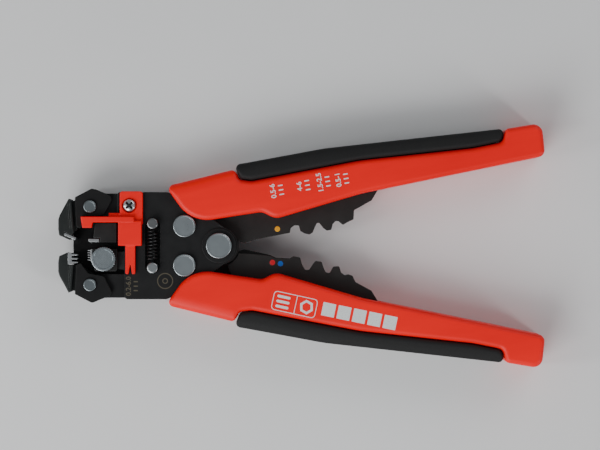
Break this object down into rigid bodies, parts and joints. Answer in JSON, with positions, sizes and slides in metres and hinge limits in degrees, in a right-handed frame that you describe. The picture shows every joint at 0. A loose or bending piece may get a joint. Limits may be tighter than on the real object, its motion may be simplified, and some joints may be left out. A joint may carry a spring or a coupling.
{
  "type": "crimping tool",
  "caption": "Self-adjusting wire stripper and crimping pliers with moulded grips, spring-loaded jaws, length stop and crimp nests in the handles.",
  "frame": {"origin": "bottom centre of the bounding box, on the plane of the grips' back faces", "axes": "+X towards the handle ends (jaws at -X), +Y across the tool towards the upper grip, +Z out of the front face, with the tool lying on its back"},
  "size_m": [0.2067, 0.103, 0.022],
  "materials": {
    "black_steel": "satin black oxide",
    "ash_steel": "matt dark grey",
    "bright_steel": "brushed",
    "dark_steel": "oiled",
    "red_grip": "satin moulded",
    "red_stop": "moulded",
    "soft_black": "soft matt"
  },
  "bodies": {
    "head": {"side_plate_front": "black_steel", "side_plate_back": "black_steel", "pivot_washer_front": "black_steel", "pivot_washer_back": "black_steel", "main_rivet": "bright_steel", "upper_arm_rivet": "bright_steel", "lower_arm_rivet": "bright_steel", "return_spring": "dark_steel"},
    "slide": {"slide_plate_front": "black_steel", "slide_plate_back": "black_steel", "blade_spreader": "dark_steel"},
    "knob": {"adjusting_knob": "bright_steel"},
    "stop": {"length_stop": "red_stop", "stop_screw": "bright_steel", "stop_nut": "dark_steel"},
    "upper_handle": {"upper_handle_plate_front": "black_steel", "upper_handle_plate_back": "black_steel", "upper_drive_pin": "dark_steel", "upper_tang_rivet_1": "dark_steel", "upper_tang_rivet_2": "dark_steel", "upper_tang_rivet_3": "dark_steel", "upper_grip_front": "red_grip", "upper_grip_back": "red_grip", "upper_grip_pad": "soft_black"},
    "upper_jaw": {"upper_grip_jaw": "ash_steel", "upper_jaw_insert": "bright_steel", "upper_jaw_cheek_front": "black_steel", "upper_jaw_cheek_back": "black_steel", "upper_jaw_rivet": "bright_steel"},
    "upper_arm": {"upper_blade_arm": "dark_steel", "upper_blade_holder": "ash_steel", "upper_blade": "bright_steel", "upper_spring_post": "dark_steel", "jaw_spring": "dark_steel"},
    "lower_handle": {"lower_handle_plate_front": "black_steel", "lower_handle_plate_back": "black_steel", "lower_drive_pin": "dark_steel", "lower_tang_rivet_1": "dark_steel", "lower_tang_rivet_2": "dark_steel", "lower_tang_rivet_3": "dark_steel", "lower_grip_front": "red_grip", "lower_grip_back": "red_grip", "lower_grip_pad": "soft_black"},
    "lower_jaw": {"lower_grip_jaw": "ash_steel", "lower_jaw_insert": "bright_steel", "lower_jaw_cheek_front": "black_steel", "lower_jaw_cheek_back": "black_steel", "lower_jaw_rivet": "bright_steel"},
    "lower_arm": {"lower_blade_arm": "dark_steel", "lower_blade_holder": "ash_steel", "lower_blade": "bright_steel", "lower_spring_post": "bright_steel"}
  },
  "joints": [
    {"name": "upper_handle_squeeze", "type": "hinge", "parent": "head", "child": "upper_handle", "pos_m": [-0.03495, 0, 0.011], "axis": [0, 0, -1], "range_deg": [0, 9], "stiffness_Nm_per_rad": 1.2, "springref_deg": -14.32},
    {"name": "lower_handle_squeeze", "type": "hinge", "parent": "head", "child": "lower_handle", "pos_m": [-0.03495, 0, 0.011], "axis": [0, 0, 1], "range_deg": [0, 9.05]},
    {"name": "slide_travel", "type": "slide", "parent": "head", "child": "slide", "axis": [-1, 0, 0], "range_m": [0, 0.00705]},
    {"name": "upper_jaw_close", "type": "hinge", "parent": "slide", "child": "upper_jaw", "pos_m": [-0.08985, 0.01665, 0.011], "axis": [0, 0, 1], "range_deg": [0, 20.1]},
    {"name": "lower_jaw_close", "type": "hinge", "parent": "slide", "child": "lower_jaw", "pos_m": [-0.08985, -0.01665, 0.011], "axis": [0, 0, -1], "range_deg": [0, 20.1]},
    {"name": "upper_arm_close", "type": "hinge", "parent": "head", "child": "upper_arm", "pos_m": [-0.04965, 0.00835, 0.011], "axis": [0, 0, 1], "range_deg": [0, 1.65], "deforming": ["jaw_spring"]},
    {"name": "lower_arm_close", "type": "hinge", "parent": "head", "child": "lower_arm", "pos_m": [-0.04965, -0.00835, 0.011], "axis": [0, 0, -1], "range_deg": [0, 1.65]},
    {"name": "knob_turn", "type": "hinge", "parent": "lower_arm", "child": "knob", "pos_m": [-0.08395, -0.0057, 0.011], "axis": [0, 0, 1], "range_deg": [-135, 135]},
    {"name": "stop_slide", "type": "slide", "parent": "head", "child": "stop", "axis": [1, 0, 0], "range_m": [-0.002, 0.0015]}
  ],
  "couplings": [
    {"joint": "lower_handle_squeeze", "follows": "upper_handle_squeeze", "ratio": 1},
    {"joint": "slide_travel", "follows": "upper_handle_squeeze", "m_per_rad": 0.044563},
    {"joint": "upper_jaw_close", "follows": "upper_handle_squeeze", "ratio": 2.2222},
    {"joint": "lower_jaw_close", "follows": "upper_handle_squeeze", "ratio": 2.2222},
    {"joint": "upper_arm_close", "follows": "upper_handle_squeeze", "ratio": 0.1778},
    {"joint": "lower_arm_close", "follows": "upper_handle_squeeze", "ratio": 0.1778}
  ]
}
